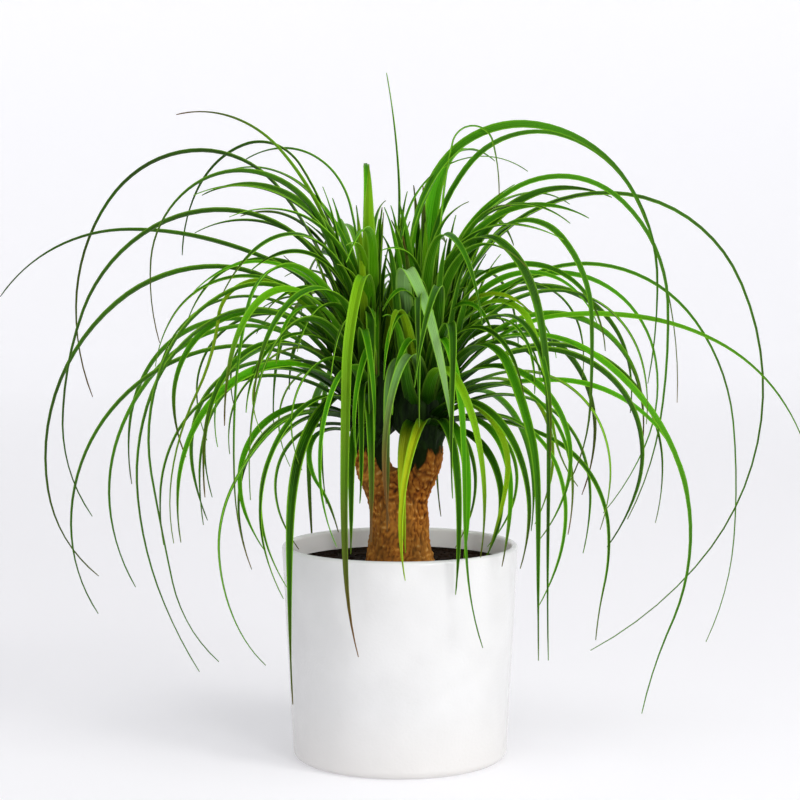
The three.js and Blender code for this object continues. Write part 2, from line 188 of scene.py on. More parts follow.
def computed(nodes, links, operation, first, second=None):
    """The result of a sum on a socket, and on another socket or a number."""
    node = nodes.new("ShaderNodeMath")
    node.operation = operation
    links.new(first, node.inputs[0])
    if isinstance(second, (int, float)):
        node.inputs[1].default_value = second
    elif second:
        links.new(second, node.inputs[1])
    return node.outputs[0]


def bumped(nodes, links, height, depth, normal=None):
    """A normal raised by a height, over another normal where one is given. The depth is in metres."""
    node = nodes.new("ShaderNodeBump")
    node.inputs["Distance"].default_value = depth
    links.new(height, node.inputs["Height"])
    if normal:
        links.new(normal, node.inputs["Normal"])
    return node.outputs["Normal"]


def glaze_finish():
    material, nodes, links, shader = dressed("white_glaze")
    place = nodes.new("ShaderNodeTexCoord").outputs["Object"]
    height = nodes.new("ShaderNodeSeparateXYZ")
    links.new(place, height.inputs[0])
    ripples = mottled(nodes, links, place, RIPPLE_FINENESS, 2)
    peel = mottled(nodes, links, place, PEEL_FINENESS, 1)
    foot = ranged(nodes, links, height.outputs["Z"], 1, 0, 0, FOOT_FADE * MM)
    body = blended(nodes, links, ripples, GLAZE, GLAZE_HOLLOWS)
    outside = blended(nodes, links, foot, body, GLAZE_FOOT)
    flat = nodes.new("ShaderNodeVectorMath")
    flat.operation = "MULTIPLY"
    flat.inputs[1].default_value = (1, 1, 0)
    links.new(place, flat.inputs[0])
    radius = nodes.new("ShaderNodeVectorMath")
    radius.operation = "LENGTH"
    links.new(flat.outputs[0], radius.inputs[0])
    slope = (RIM_RADIUS - BASE_RADIUS) / POT_HEIGHT
    leaning = computed(nodes, links, "MULTIPLY", height.outputs["Z"], slope)
    plumb = computed(nodes, links, "SUBTRACT", radius.outputs["Value"], leaning)
    middle = (BASE_RADIUS - POT_WALL / 2) * MM
    # The inside of the wall takes the far whiter colour: painted light on the shaded inner wall.
    lit_inside = ranged(nodes, links, plumb, 1, 0, middle - MM, middle)
    links.new(blended(nodes, links, lit_inside, outside, GLAZE_INSIDE_LIT), shader.inputs["Base Color"])
    links.new(ranged(nodes, links, ripples, *GLAZE_ROUGHNESS), shader.inputs["Roughness"])
    waves = bumped(nodes, links, ripples, RIPPLE_DEPTH * MM)
    links.new(bumped(nodes, links, peel, PEEL_DEPTH * MM, waves), shader.inputs["Normal"])
    shader.inputs["Specular IOR Level"].default_value = GLAZE_SHINE
    return material


def make_pot():
    lip = POT_WALL / 2
    corner = POT_FLOOR + INNER_ROUND
    foot = pot_radius(FOOT_ROUND) - FOOT_ROUND
    inner_corner = pot_radius(corner) - POT_WALL - INNER_ROUND
    outer_side = [(pot_radius(z), z) for z in OUTER_ROWS]
    inner_side = [(pot_radius(z) - POT_WALL, z) for z in INNER_ROWS]
    profile = [
        (0, 0),
        (foot * 0.5, 0),
        *arc(foot, FOOT_ROUND, FOOT_ROUND, -90, 0, CORNER_STEPS),
        *outer_side,
        *arc(RIM_RADIUS - lip, POT_HEIGHT - lip, lip, 0, 180, LIP_STEPS),
        *inner_side,
        *arc(inner_corner, corner, INNER_ROUND, 0, -90, CORNER_STEPS),
        (0, POT_FLOOR),
    ]
    return placed("pot_body", mesh_from("pot_body", spun(profile, POT_STEPS)), glaze_finish())


pot = make_pot()
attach(pot, "root")
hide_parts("pot")


# The soil is moist dark peat with bark crumbs. It fills the pot to a thumb's width under the lip, lies lumpy
# and loose on top, and is heaped a little against the trunk.
SOIL_TOP = 141
SOIL_SUNK = 1.6
FIT = 0.3
BED_STEPS = 168
FACE_RINGS = 30
MOUTH_CLOSED = 1.2
LUMP = {"layer": 0, "fineness": 0.07, "depth": 1.2}
CRUMB = {"layer": 31, "fineness": 0.26, "depth": 0.9}
GRIT = {"layer": 77, "fineness": 0.7, "depth": 0.5}
HEAP = {"height": 1.8, "from": 26, "reach": 7}

# The rounded hollow in which the trunk's foot stands: its heights, and the foot's radius at each.
FOOT = ((108, 12), (112, 19), (119, 24.5), (129, 26.5), (137, 26))

LOOSE_CRUMBS = 620
LOOSE_FROM = 27
LOOSE_TO = 78
LOOSE_SIZE = (0.7, 1.9)
LOOSE_SEED = 7411
LOOSE_RAISED = 0.25
LOOSE_RAGGED = 0.3
RAGGED_FINENESS = 900
NOISE_SEED = 29
PEAT_WET = (0.006, 0.003, 0.0015)
PEAT_DAMP = (0.018, 0.009, 0.005)
PEAT_CRUMB = (0.045, 0.025, 0.013)
PEAT_SHINE = 0.1
PEAT_ROUGHNESS = (0.8, 0.97)
DAMP_FINENESS = 45
CRUMB_FINENESS = 380
CRUMB_SHARE = 0.5
CRUMB_DEPTH = 0.8


def draws_from(seed):
    """Draws between 0 and 1 from a seed, so that every run gives the same plant."""
    state = seed

    def draw():
        nonlocal state
        state = (state * 48271) % 2147483647
        return state / 2147483647

    return draw


def between(a, b, share):
    return a + (b - a) * share


def relief(x, y, size):
    """Height that lumps of one size give to the soil's face at a place."""
    return noise.noise(Vector((x, y, size["layer"])) * size["fineness"]) * size["depth"]


def soil_height(x, y):
    """Height of the soil's face at a place, in millimetres."""
    lumps = relief(x, y, LUMP)
    crumbs = relief(x, y, CRUMB) + relief(x, y, GRIT)
    heap = HEAP["height"] * math.exp(-max(math.hypot(x, y) - HEAP["from"], 0) / HEAP["reach"])
    return SOIL_TOP - SOIL_SUNK + lumps + crumbs + heap


def soil_finish():
    material, nodes, links, shader = dressed("moist_peat")
    place = nodes.new("ShaderNodeTexCoord").outputs["Object"]
    patches = mottled(nodes, links, place, DAMP_FINENESS, 3)
    crumbs = mottled(nodes, links, place, CRUMB_FINENESS, 4)
    ground = blended(nodes, links, patches, PEAT_WET, PEAT_DAMP)
    colour = blended(nodes, links, ranged(nodes, links, crumbs, 0, CRUMB_SHARE), ground, PEAT_CRUMB)
    links.new(colour, shader.inputs["Base Color"])
    links.new(ranged(nodes, links, patches, *PEAT_ROUGHNESS), shader.inputs["Roughness"])
    links.new(bumped(nodes, links, crumbs, CRUMB_DEPTH * MM), shader.inputs["Normal"])
    shader.inputs["Specular IOR Level"].default_value = PEAT_SHINE
    return material


def make_soil_bed():
    floor = POT_FLOOR + FIT
    corner = floor + INNER_ROUND
    side = POT_WALL + FIT
    mouth = FOOT[-1][1] + FIT - MOUTH_CLOSED
    rim = pot_radius(SOIL_TOP) - side
    profile = [
        (0, floor),
        *arc(pot_radius(corner) - side - INNER_ROUND, corner, INNER_ROUND, -90, 0, 4),
        (rim, SOIL_TOP),
        *[(between(rim, mouth, k / FACE_RINGS), SOIL_TOP) for k in range(1, FACE_RINGS)],
        (mouth, SOIL_TOP),
        *[(r + FIT, z) for z, r in reversed(FOOT)],
        (0, FOOT[0][0] - FIT),
    ]
    bm = spun(profile, BED_STEPS)
    for vert in bm.verts:
        x, y, z = vert.co / MM
        if abs(z - SOIL_TOP) < 0.01 and math.hypot(x, y) < rim - 0.5:
            vert.co.z = soil_height(x, y) * MM
    return placed("soil_bed", mesh_from("soil_bed", bm), soil_material, sharp=180)


def make_soil_crumbs():
    """Crumbs of peat and bark that lie loose on the soil."""
    draw = draws_from(LOOSE_SEED)
    bm = bmesh.new()
    for _ in range(LOOSE_CRUMBS):
        r = between(LOOSE_FROM, LOOSE_TO, math.sqrt(draw()))
        angle = math.tau * draw()
        size = between(*LOOSE_SIZE, draw() ** 2)
        x = r * math.cos(angle)
        y = r * math.sin(angle)
        spot = Vector((x, y, soil_height(x, y) + LOOSE_RAISED * size)) * MM
        turn = Matrix.Rotation(math.tau * draw(), 4, "Z") @ Matrix.Rotation(draw(), 4, "X")
        stretch = Matrix.Diagonal((1 + draw(), 0.7 + 0.5 * draw(), 0.6, 1))
        made = bmesh.ops.create_icosphere(
            bm, subdivisions=1, radius=size * MM, matrix=Matrix.Translation(spot) @ turn @ stretch
        )
        for vert in made["verts"]:
            vert.co += noise.noise_vector(vert.co * RAGGED_FINENESS) * LOOSE_RAGGED * size * MM
    return placed("soil_crumbs", mesh_from("soil_crumbs", bm), soil_material, sharp=60)


# The vector noise that makes the crumbs ragged and warps the bark starts from a seed, not from the clock.
noise.seed_set(NOISE_SEED)
soil_material = soil_finish()
soil_bed = make_soil_bed()
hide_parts("soil")
soil_crumbs = make_soil_crumbs()
for piece in (soil_bed, soil_crumbs):
    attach(piece, "root")


# The trunk is one living stem that forks in two. Its corky red-brown bark has split into upright plates as it
# swelled, crossed by the low rings where old leaves sat. Painted shade darkens it to near black in the
# cracks, and a painted highlight lifts it to a pale tan on the high spots.
TRUNK_TOP = 228
BURIED = 143

# The two crowns: where the middle of each stands, the radius of its core, and the side and heading that are
# outwards for it. They part at an upright sheet, which crosses the middle at PARTING_X.
CROWNS = {
    "left": {"x": -22, "y": 5, "radius": 11.5, "side": -1, "outwards": 180},
    "right": {"x": 18, "y": -4, "radius": 13.5, "side": 1, "outwards": 0},
}
PARTING_X = -2

BARK_VOXEL = 0.9
BARK_SMOOTHINGS = 4
BARK_DEPTH = 1.15
BARK_LOWEST = -1.1
LOOSE_CORNER = 0.01
WARP_FINENESS = 0.09
WARP_REACH = 2.5
CRACK_FINENESS = (0.3, 0.3, 0.085)
CRACK_STEEPNESS = 5.5
PLATE_ROUNDNESS = 0.6
PLATE_HEIGHT = 1.05
CRACK_BOTTOM = 0.75
RING_PITCH = 4.2
RING_WANDER = 1.5
RING_FINENESS = 0.12
RING_HEIGHT = 0.24
BROKEN_FINENESS = (0.42, 0.42, 0.36)
BROKEN_PLACE = (9, 4, 2)
BROKEN_HEIGHT = 0.62
GRAIN_FINENESS = (0.9, 0.9, 0.5)
GRAIN_HEIGHT = 0.38

# Where the bark ends under the leaves: lower between the forks, and torn into points. The saddle of the fork
# itself stays bark.
SADDLE_HALF = 7
GREEN_FROM = 8
GREEN_OVER = 16
GREEN_DROP = 17
TEAR_FINENESS = 2.6
TEAR_LENGTH = 26
TEAR_LONGEST = 9
TEAR_SHARE = 0.8
GREEN_FADE = 1.5

# The bark's colour from the bottom of a crack, 0, to the top of a plate, 1: its own red-brown in the middle,
# painted shade to near black in the cracks and a painted highlight to pale tan on the plate tops.
BARK_SHADE_TO_HIGHLIGHT_STOPS = (
    (0.0, (0.025, 0.008, 0.002)),
    (0.3, (0.14, 0.038, 0.004)),
    (0.55, (0.39, 0.115, 0.011)),
    (0.8, (0.64, 0.25, 0.03)),
    (1.0, (0.88, 0.5, 0.15)),
)
BARK_STREAK = (0.12, 0.04, 0.01)
BARK_WORN = (0.52, 0.25, 0.05)
# Painted shade, laid over the bark in cloudy patches.
BARK_PAINTED_SHADE = (0.09, 0.03, 0.005)
BARK_SHINE = 0.1
BARK_ROUGHNESS = (0.72, 0.92)
BARK_SPAN = (-0.85, 0.9)
STREAK_STRETCH = (1, 1, 0.3)
STREAK = {"scale": 130, "detail": 4}
STREAK_SHARE = 0.45
STREAK_DEPTH = 0.5
WORN = {"scale": 38, "detail": 2, "low": 0.4, "high": 0.62}
WORN_SHARE = 0.35
PAINTED_SHADE_PATCHES = {"scale": 24, "detail": 1, "low": 0.42, "high": 0.6}
PAINTED_SHADE_SHARE = 0.4
# The leaf bases on the trunk's top, near black: their own dark green with painted shade from the crown.
SHADED_GREEN_BASE = (0.008, 0.016, 0.002)


def stretched(point, fineness):
    return Vector((point.x * fineness[0], point.y * fineness[1], point.z * fineness[2]))


def bark_height(x, y, z):
    """Height of the bark over the smooth stem, from about -1 in a crack to 1 on a plate."""
    warp = noise.noise_vector(Vector((x, y, z)) * WARP_FINENESS) * WARP_REACH
    p = Vector((x, y, z)) + warp
    cracks = abs(noise.noise(stretched(p, CRACK_FINENESS)))
    plates = min(cracks * CRACK_STEEPNESS, 1) ** PLATE_ROUNDNESS
    rings = math.sin(math.tau * (p.z + RING_WANDER * noise.noise(p * RING_FINENESS)) / RING_PITCH)
    broken = noise.noise(stretched(p, BROKEN_FINENESS) + Vector(BROKEN_PLACE))
    grain = noise.noise(stretched(p, GRAIN_FINENESS))
    high = PLATE_HEIGHT * plates - CRACK_BOTTOM + RING_HEIGHT * rings * (0.5 + broken)
    return high + BROKEN_HEIGHT * broken + GRAIN_HEIGHT * grain


def leaf_base(x, y, z):
    """Share of green leaf base over bark."""
    off = abs(x - PARTING_X)
    if off < SADDLE_HALF:
        return 0
    between_forks = min(max(1 - (off - GREEN_FROM) / GREEN_OVER, 0), 1)
    fork = CROWNS["left" if x < PARTING_X else "right"]
    angle = math.atan2(y - fork["y"], x - fork["x"])
    around = Vector((TEAR_FINENESS * math.cos(angle), TEAR_FINENESS * math.sin(angle), fork["x"]))
    torn = abs(noise.noise(around)) * TEAR_LENGTH
    edge = TRUNK_TOP - 1 - GREEN_DROP * between_forks - min(torn, TEAR_LONGEST) * TEAR_SHARE
    return min(max((z - edge) / GREEN_FADE, 0), 1)


def bark_finish():
    material, nodes, links, shader = dressed("corky_bark")
    place = nodes.new("ShaderNodeTexCoord").outputs["Object"]
    stretch = nodes.new("ShaderNodeMapping")
    stretch.inputs["Scale"].default_value = STREAK_STRETCH
    links.new(place, stretch.inputs["Vector"])
    height = nodes.new("ShaderNodeAttribute")
    height.attribute_name = "bark_height"
    shade_to_highlight = nodes.new("ShaderNodeValToRGB")
    while len(shade_to_highlight.color_ramp.elements) < len(BARK_SHADE_TO_HIGHLIGHT_STOPS):
        shade_to_highlight.color_ramp.elements.new(0.5)
    for element, (position, colour) in zip(shade_to_highlight.color_ramp.elements, BARK_SHADE_TO_HIGHLIGHT_STOPS):
        element.position = position
        element.color = (*colour, 1)
    # The bark's height picks its colour: painted shade in the cracks, painted highlight on the plate tops.
    links.new(ranged(nodes, links, height.outputs["Fac"], 0, 1, *BARK_SPAN), shade_to_highlight.inputs["Fac"])
    streaks = mottled(nodes, links, stretch.outputs["Vector"], **STREAK)
    patches = mottled(nodes, links, place, **WORN)
    dark = ranged(nodes, links, streaks, 0, STREAK_SHARE)
    streaked = blended(nodes, links, dark, shade_to_highlight.outputs["Color"], BARK_STREAK)
    worn = blended(nodes, links, ranged(nodes, links, patches, 0, WORN_SHARE), streaked, BARK_WORN)
    # Painted shadow in cloudy patches over the bark.
    shade_patches = mottled(nodes, links, place, **PAINTED_SHADE_PATCHES)
    colour = blended(nodes, links, ranged(nodes, links, shade_patches, 0, PAINTED_SHADE_SHARE), worn, BARK_PAINTED_SHADE)
    sheath = nodes.new("ShaderNodeAttribute")
    sheath.attribute_name = "leaf_base"
    # Where the leaf bases sit, their dark green with painted shade from the crown covers the bark.
    based = blended(nodes, links, sheath.outputs["Fac"], colour, SHADED_GREEN_BASE)
    links.new(based, shader.inputs["Base Color"])
    links.new(ranged(nodes, links, streaks, *BARK_ROUGHNESS), shader.inputs["Roughness"])
    links.new(bumped(nodes, links, streaks, STREAK_DEPTH * MM), shader.inputs["Normal"])
    shader.inputs["Specular IOR Level"].default_value = BARK_SHINE
    return material


def make_trunk():
    """The stem of the frame, remeshed evenly, smoothed, and raised into bark."""
    bm = bmesh.new()
    bm.from_mesh(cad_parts["trunk"].data)
    bmesh.ops.remove_doubles(bm, verts=bm.verts, dist=LOOSE_CORNER * MM)
    rough = bpy.data.objects.new("rough_stem", mesh_from("rough_stem", bm))
    bpy.context.scene.collection.objects.link(rough)
    remesh = rough.modifiers.new("even", "REMESH")
    remesh.mode = "VOXEL"
    remesh.voxel_size = BARK_VOXEL * MM
    even = bpy.data.meshes.new_from_object(rough.evaluated_get(bpy.context.evaluated_depsgraph_get()))
    bpy.data.objects.remove(rough)

    bm = bmesh.new()
    bm.from_mesh(even)
    for _ in range(BARK_SMOOTHINGS):
        bmesh.ops.smooth_vert(
            bm, verts=bm.verts, factor=0.5, use_axis_x=True, use_axis_y=True, use_axis_z=True
        )
    bm.normal_update()
    height_layer = bm.verts.layers.float.new("bark_height")
    base_layer = bm.verts.layers.float.new("leaf_base")
    for vert in bm.verts:
        x, y, z = vert.co / MM
        base = leaf_base(x, y, z)
        height = between(bark_height(x, y, z), BARK_LOWEST, base)
        vert[height_layer] = height
        vert[base_layer] = base
        if z > BURIED - 5:
            vert.co += vert.normal * (height * BARK_DEPTH * MM)
    return placed("trunk_bark", mesh_from("trunk_bark", bm), bark_finish(), sharp=180)


trunk = make_trunk()
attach(trunk, "root")
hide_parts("trunk")


# The crowns. Each fork ends in a growing point packed with leaves in a spiral: tough, smooth straps a hand or
# two long, folded into a shallow gutter, that rise together, arch over and hang. The old ones are lowest, and
# their far ends dry to a thin brown thread.
CORE = ((0, -0.5), (10, 3), (28, 5), (48, 1), (64, -7))  # height over the trunk, and growth in radius
FIRST_ROOT = 7
LAST_ROOT = 55
ROOT_SUNK = 12
MIDRIB_STEPS = 60
PARTING_BEND = 12  # how far the sheet between the crowns bends, left in front and right behind
PARTING_STRETCH = 20
KEEP_OFF = 1.5
KEEP_OFF_HARD = 2.5
TRUNK_REACH = 34
LOWEST_TIP = 12

# The leaves that make the plant's outline. Each row: heading in degrees round +Z from +X, swing of the
# heading from root to tip, height up the core from 0 to 1, length, width, roll about the midrib, and the lean
# from the vertical at seven even places from root to tip.
LONG_LEAVES = {
    "left": (
        (160, 0, 0.5, 480, 8.5, 45, (10, 21, 41, 94, 142, 176, 205)),
        (188, 0, 0.6, 465, 9.5, 45, (9, 23, 74, 121, 160, 178, 216)),
        (200, 0, 0.65, 355, 9, 40, (8, 15, 24, 74, 128, 176, 197)),
        (150, 0, 0.7, 331, 7, 40, (11, 11, 23, 37, 106, 149, 180)),
        (168, 0, 0.8, 265, 9, 40, (6, 15, 18, 29, 42, 72, 105)),
        (145, 0, 0.8, 243, 8, 40, (0, 2, 10, 16, 56, 90, 118)),
        (174, 0, 0.62, 340, 8.5, 45, (13, 31, 66, 77, 91, 118, 146)),
        (184, 0, 0.45, 455, 10, 45, (16, 43, 90, 130, 160, 189, 233)),
        (206, 0, 0.42, 450, 11, 35, (16, 41, 114, 159, 190, 192, 229)),
        (186, 0, 0.25, 371, 9, 40, (31, 66, 101, 129, 157, 184, 214)),
        (178, 0, 0.3, 357, 8.5, 40, (28, 52, 100, 137, 160, 187, 211)),
        (202, 0, 0.35, 426, 10, 35, (27, 48, 116, 158, 184, 200, 212)),
        (222, 0, 0.15, 286, 9.5, 30, (66, 87, 128, 149, 185, 207, 230)),
        (230, 0, 0.5, 372, 10, 25, (16, 30, 73, 161, 175, 183, 209)),
        (200, 0, 0.4, 334, 10, 35, (20, 32, 65, 173, 153, 170, 192)),
        (226, 70, 0.25, 280, 12, 10, (30, 116, 134, 155, 177, 175, 170)),
        (222, 20, 0.1, 138, 9, 10, (96, 80, 108, 190, 226, 213, 206)),
        (275, -50, 0.5, 400, 10.5, 5, (8, 18, 130, 176, 178, 184, 200)),
        (285, 0, 0.5, 300, 9.5, 0, (8, 18, 100, 165, 176, 180, 184)),
        (28, 0, 0.95, 215, 6, 0, (14, 17, 13, 2, -4, -8, -12)),
        (95, 0, 0.9, 182, 16, 0, (0, 2, 3, 4, 12, 60, 120)),
        (5, 0, 0.9, 115, 10, 0, (6, 6, 6, 5, 4, 4, 4)),
        (30, 0, 0.75, 120, 12, 0, (4, 5, 5, 4, 3, 5, 10)),
        (250, 0, 0.7, 132, 12, 0, (6, 8, 8, 8, 10, 14, 22)),
        (300, 0, 0.5, 160, 12, 0, (8, 8, 8, 10, 14, 22, 40)),
        (42, 0, 0.7, 145, 13, 0, (30, 26, 14, 6, 4, 8, 20)),
        (50, 0, 0.4, 165, 13, 0, (40, 36, 18, 8, 6, 14, 40)),
        (40, 0, 0.1, 165, 13, 0, (50, 44, 20, 10, 8, 20, 60)),
    ),
    "right": (
        (-12, 0, 0.75, 471, 16, 55, (-20, -2, 34, 95, 143, 179, 191)),
        (14, 0, 0.75, 470, 9, 40, (-7, 5, 38, 105, 153, 168, 183)),
        (-2, 0, 0.65, 488, 11, 40, (-4, 18, 62, 134, 178, 188, 208)),
        (6, 0, 0.55, 660, 10, 40, (0, 41, 96, 154, 187, 220, 244)),
        (2, 0, 0.35, 353, 9, 40, (26, 53, 85, 99, 119, 145, 167)),
        (14, 0, 0.5, 510, 8.5, 40, (16, 51, 98, 142, 174, 184, 208)),
        (-14, 0, 0.4, 428, 11, 35, (14, 76, 124, 150, 178, 203, 191)),
        (-35, -68, 0.6, 470, 11, 20, (0, 18, 112, 157, 180, 186, 190)),
        (-26, 0, 0.55, 367, 11, 30, (0, 24, 40, 137, 178, 183, 210)),
        (-35, -75, 0.4, 320, 10, 20, (13, 62, 142, 143, 175, 184, 182)),
        (-8, 0, 0.2, 249, 8, 35, (75, 100, 115, 147, 176, 192, 184)),
        (4, 0, 0.3, 274, 10, 35, (48, 81, 91, 117, 142, 170, 184)),
        (16, 0, 0.5, 378, 10, 40, (0, 45, 79, 125, 170, 204, 224)),
        (-20, 0, 0.45, 248, 10, 30, (-3, 26, 61, 154, 172, 168, 139)),
        (-52, 0, 0.2, 174, 9, 15, (68, 66, 109, 144, 190, 202, 205)),
        (-46, 0, 0.15, 165, 9, 15, (70, 80, 115, 155, 180, 190, 195)),
        (230, 116, 0.75, 250, 15, 5, (24, 26, 40, 118, 156, 168, 172)),
        (250, 0, 0.1, 128, 11.5, 0, (50, 90, 150, 178, 184, 190, 192)),
        (285, 0, 0.1, 180, 9, 5, (60, 85, 125, 160, 178, 188, 198)),
        (295, 0, 0.1, 165, 11, 5, (60, 85, 125, 165, 180, 188, 195)),
        (222, 30, 0.25, 225, 9.5, 0, (15, 30, 100, 168, 184, 182, 174)),
        (275, 45, 0.3, 310, 8, 0, (15, 40, 140, 174, 180, 172, 155)),
        (95, 0, 0.9, 135, 12, 0, (0, 2, 4, 6, 8, 12, 18)),
        (200, 0, 0.7, 118, 12, 0, (5, 6, 6, 6, 8, 10, 16)),
        (237, 0, 0.53, 135, 12, 0, (9, 10, 11, 12, 16, 26, 45)),
        (120, 0, 0.7, 165, 12, 0, (5, 6, 7, 8, 10, 14, 24)),
        (222, 0, 0.8, 130, 13, 0, (30, 26, 12, 4, 2, 8, 26)),
        (228, 0, 0.45, 150, 13, 0, (42, 38, 18, 8, 8, 20, 60)),
        (224, 0, 0.2, 130, 13, 0, (50, 44, 24, 14, 24, 60, 110)),
        (250, 10, 0.2, 150, 12, 0, (18, 24, 30, 40, 70, 120, 150)),
        (-15, 0, 0.9, 245, 7, 20, (4, 5, 5, 6, 14, 165, 182)),
    ),
}

# Leaves that stand out, by their place in the crown's list: how light the green is (below 0 a painted silvery
# sheen, above 1 yellowing with painted light), the share of the length where the end starts to dry, and how
# slim the far part gets.
ODD_LEAVES = {
    "left": {
        15: (0, 0.95, -0.1),
        17: (1.3, 0.85, 1.7),
        18: (0, 0.85, -0.5),
        19: (0.3, 1.4, 0.9),
        20: (0.75, 1.4, 1),
        37: (0, 0.8, 0.05),
        71: (0.1, 1.2, 0.4),
    },
    "right": {
        0: (0.75, 1.4, 0.35),
        16: (-1.0, 1.4, 3),
        17: (1.9, 1.4, 1),
        20: (-0.3, 0.8, 0.5),
        34: (1.9, 1.2, 1),
        47: (-0.5, 0.75, 0.8),
    },
}

# The rest of each crown: old drooping leaves at its foot, young upright ones at its top.
SPIRAL = {
    "left": {"count": 43, "seed": 20261, "start": 15},
    "right": {"count": 43, "seed": 48217, "start": 140},
}
GOLDEN_ANGLE = 137.508
LEANS = 7
YOUTH_POWER = 1.3
LAUNCH_POWER = 0.7
BEND_EASE = 0.6
OLD_LEAF = {"launch": 68, "tip": 205, "length": 170, "width": 9, "knee": 0.42}
YOUNG_LEAF = {"launch": 5, "tip": 60, "length": 125, "width": 12, "knee": 0.7}
SPREAD_OLD = 100
SPREAD_YOUNG = 150
MID_SWELL = 115
VARIATION = {"heading": 10, "sweep": 90, "launch": 12, "tip": 36, "length": 60, "width": 2, "roll": 100}

# A leaf in another piece's way keeps this share of its length at each try. So does its turn from outwards,
# where that is more than INNER_FROM.
CLEAR_TRIES = 60
CLEAR_SHARE = 0.985
INNER_FROM = 70


def smooth_step(value):
    value = min(max(value, 0), 1)
    return value * value * (3 - 2 * value)


def wrapped(degrees):
    return (degrees + 180) % 360 - 180


def lean_at(leans, share):
    """A leaf's lean from the vertical at a share of its length."""
    place = share * (len(leans) - 1)
    k = min(int(place), len(leans) - 2)
    return between(leans[k], leans[k + 1], place - k)


def core_radius(crown, height):
    k = max(next(i for i, row in enumerate(CORE) if row[0] >= height), 1)
    share = (height - CORE[k - 1][0]) / (CORE[k][0] - CORE[k - 1][0])
    return crown["radius"] + between(CORE[k - 1][1], CORE[k][1], share)


def midrib(crown, leaf):
    """Points along a leaf's midrib, each with its direction and its level side."""
    height = between(FIRST_ROOT, LAST_ROOT, leaf["up"])
    out = max(core_radius(crown, height) - ROOT_SUNK, 0)
    root = math.radians(leaf["heading"])
    at = Vector((crown["x"] + out * math.cos(root), crown["y"] + out * math.sin(root), TRUNK_TOP + height))
    points = []
    for k in range(MIDRIB_STEPS + 1):
        share = k / MIDRIB_STEPS
        lean = math.radians(lean_at(leaf["leans"], share))
        heading = math.radians(leaf["heading"] + leaf["sweep"] * share)
        level = Vector((-math.sin(heading), math.cos(heading), 0))
        way = Vector((math.sin(lean) * math.cos(heading), math.sin(lean) * math.sin(heading), math.cos(lean)))
        points.append((at.copy(), way, level))
        at += way * (leaf["length"] / MIDRIB_STEPS)
    return points


def taper(share):
    """A blade's width as a share of its widest: broad near the root, then a long taper."""
    fall = 1 - share
    return min(1, 0.72 + 2.8 * share) * (0.12 + 0.88 * fall) * min(1, 6 * fall) ** 0.7


def keeps_clear(crown, leaf, points):
    """Whether a leaf keeps to its crown's side, off the pot and the trunk, and above the ground."""
    for k, (at, _, _) in enumerate(points):
        half = leaf["width"] / 2 * taper(k / MIDRIB_STEPS)
        reach = half + KEEP_OFF_HARD
        r = math.hypot(at.x, at.y)
        sheet = PARTING_X + PARTING_BEND * math.tanh(at.y / PARTING_STRETCH)
        over_soil = r < RIM_RADIUS - POT_WALL - reach and at.z > SOIL_TOP + reach
        off_pot = at.z > POT_HEIGHT + reach or r > RIM_RADIUS + reach or over_soil
        off_trunk = at.z > TRUNK_TOP or r > TRUNK_REACH + half
        off_parting = crown["side"] * (at.x - sheet) > half + KEEP_OFF
        if not (off_parting and off_pot and off_trunk and at.z > LOWEST_TIP):
            return False
    return True


def cleared(crown, leaf):
    """Turns a leaf outwards and shortens it, a little at a time, until it keeps clear."""
    trial = dict(leaf)
    for _ in range(CLEAR_TRIES):
        points = midrib(crown, trial)
        if keeps_clear(crown, trial, points):
            return trial, points
        off = wrapped(trial["heading"] - crown["outwards"])
        trial["heading"] = crown["outwards"] + off * (CLEAR_SHARE if abs(off) > INNER_FROM else 1)
        trial["length"] *= CLEAR_SHARE
    return None


def spiral_leaves(crown, rule):
    """The leaves of a crown that follow the spiral rule, from the lowest to the highest."""
    draw = draws_from(rule["seed"])

    def some(what):
        return VARIATION[what] * (draw() - 0.5)

    leaves = []
    for i in range(rule["count"]):
        up = (i + 0.5) / rule["count"]
        youth = up ** YOUTH_POWER
        spread = between(SPREAD_OLD, SPREAD_YOUNG, youth ** 2)
        turn = wrapped(rule["start"] + GOLDEN_ANGLE * i) / 180
        heading = crown["outwards"] + turn * spread + some("heading")
        sweep = some("sweep")
        launch = between(OLD_LEAF["launch"], YOUNG_LEAF["launch"], up ** LAUNCH_POWER) + some("launch")
        tip = between(OLD_LEAF["tip"], YOUNG_LEAF["tip"], youth ** 3) + some("tip")
        swell = MID_SWELL * math.sin(math.pi * up)
        length = between(OLD_LEAF["length"], YOUNG_LEAF["length"], up) + swell + some("length")
        knee = between(OLD_LEAF["knee"], YOUNG_LEAF["knee"], youth)
        leans = []
        for k in range(LEANS):
            spent = (k / (LEANS - 1)) ** (math.log(0.5) / math.log(knee))
            leans.append(between(launch, tip, (1 - BEND_EASE) * spent + BEND_EASE * smooth_step(spent)))
        width = between(OLD_LEAF["width"], YOUNG_LEAF["width"], up) + some("width")
        leaves.append({
            "heading": heading, "sweep": sweep, "up": up, "length": length,
            "width": width, "roll": some("roll"), "leans": leans,
        })
    return leaves


# The finer leaves between the main ones: thinner and shorter, on the same spiral, from a height up the core.
FILL = {
    "left": {"count": 46, "seed": 9137, "start": 98},
    "right": {"count": 48, "seed": 33391, "start": 238},
}
FILL_WIDTH = 0.8
FILL_LENGTH = 0.62
FILL_FROM = {"left": 0.34, "right": 0.55}

# The short young leaves that stand close round the core and hide it.
COLLAR = {"left": {"count": 20, "seed": 5521}, "right": {"count": 22, "seed": 8887}}
COLLAR_LENGTH = 120
COLLAR_WIDTH = 12.5
COLLAR_TOP = 0.75
COLLAR_STEP = 0.618
COLLAR_LEAN = (24, 10)
COLLAR_BEND = (1.7, 1, 0.6, 0.6, 0.8, 1.2, 2.0)
COLLAR_LENGTHS = (0.75, 1.3)
COLLAR_WIDTHS = (0.8, 1.1)
COLLAR_VARIATION = {"lean": 8, "heading": 14, "sweep": 10, "roll": 30}

